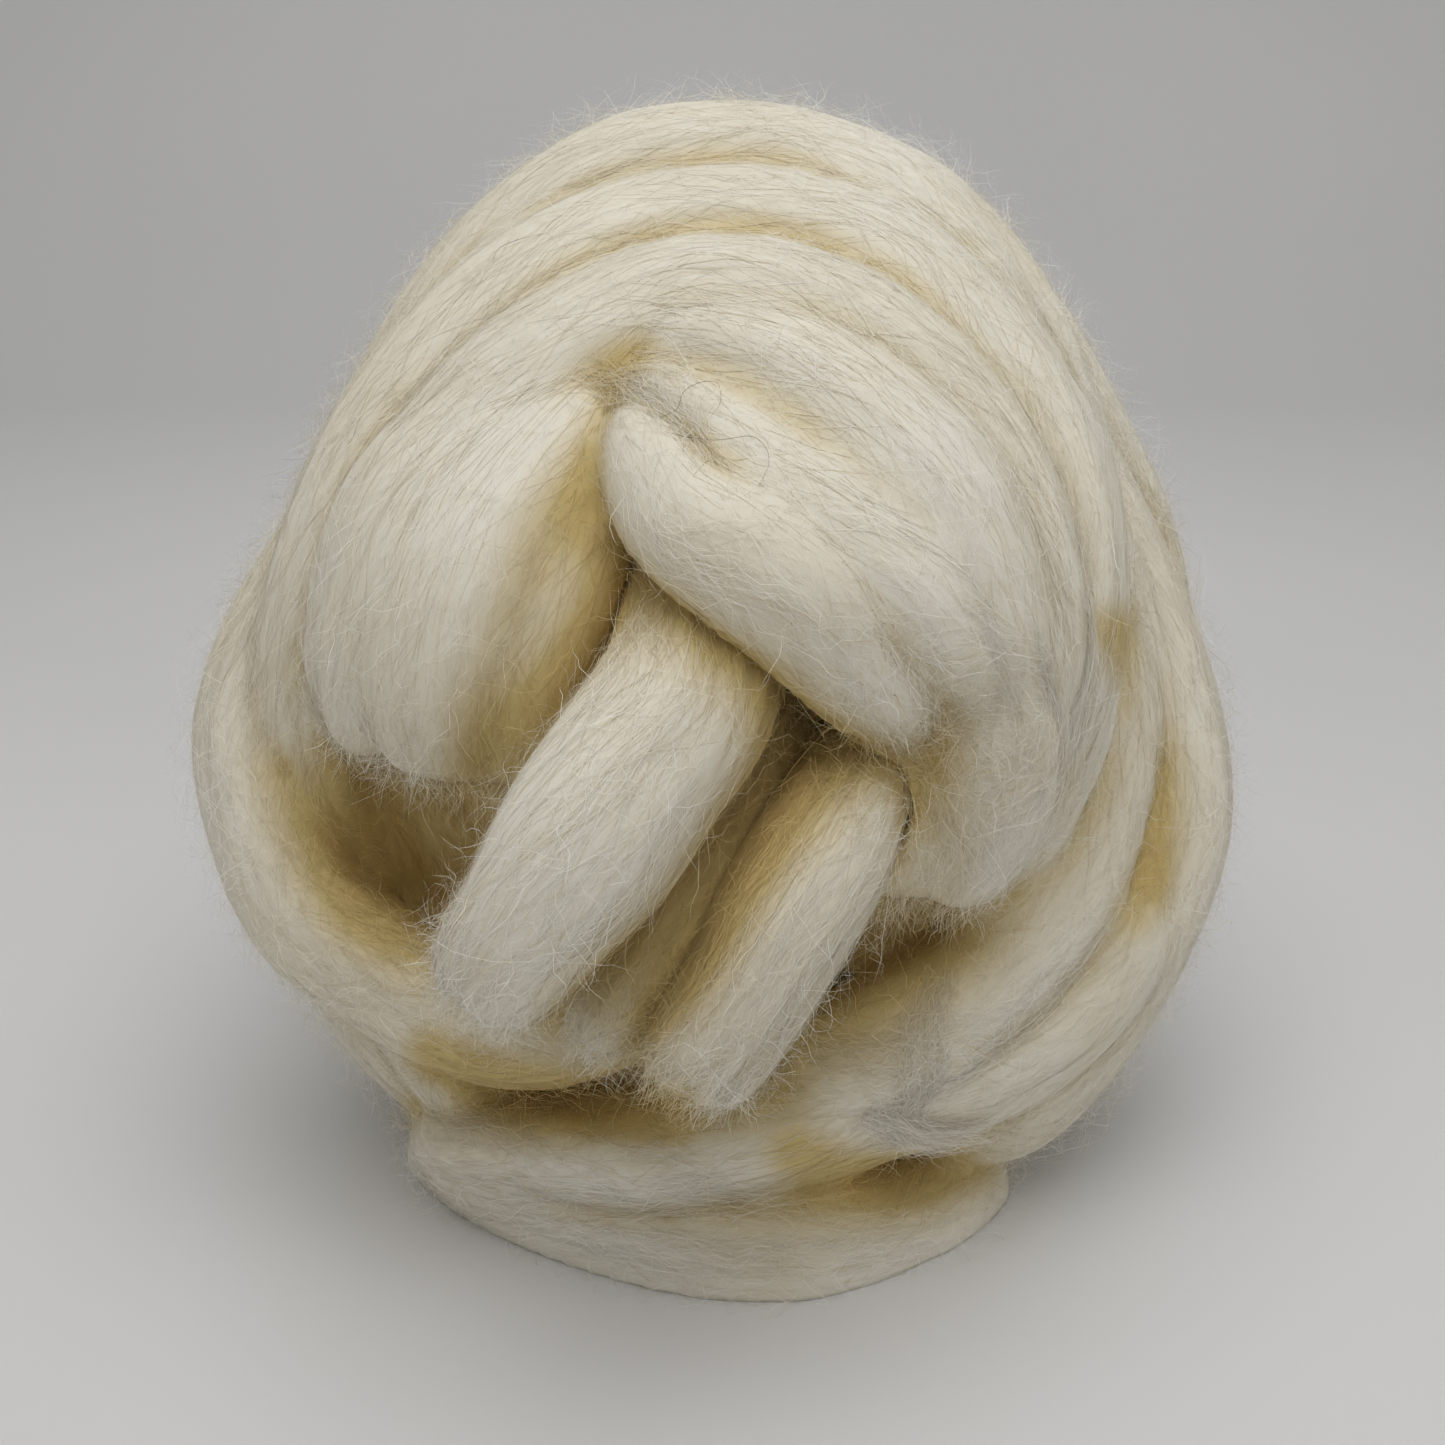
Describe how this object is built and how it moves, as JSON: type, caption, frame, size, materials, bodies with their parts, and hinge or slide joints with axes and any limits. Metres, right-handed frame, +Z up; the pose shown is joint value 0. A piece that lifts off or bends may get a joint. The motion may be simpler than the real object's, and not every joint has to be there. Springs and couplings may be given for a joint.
{
  "type": "loose bundle of combed top",
  "caption": "Loose ball of cream combed fibre, its broad strands folded over one another, with loose ends hanging at the front.",
  "frame": {"origin": "middle of the flat spot that the bundle rests on", "axes": "+Z up, -Y towards the front, where the loose ends hang, +X to the right as seen from the front"},
  "size_m": [0.1938, 0.2118, 0.1968],
  "materials": {
    "fibre": "soft combed fibre with a low sheen along the strands"
  },
  "bodies": {
    "root": {"bundle": "fibre", "end_left": "fibre", "end_middle": "fibre", "end_right": "fibre"}
  },
  "joints": []
}
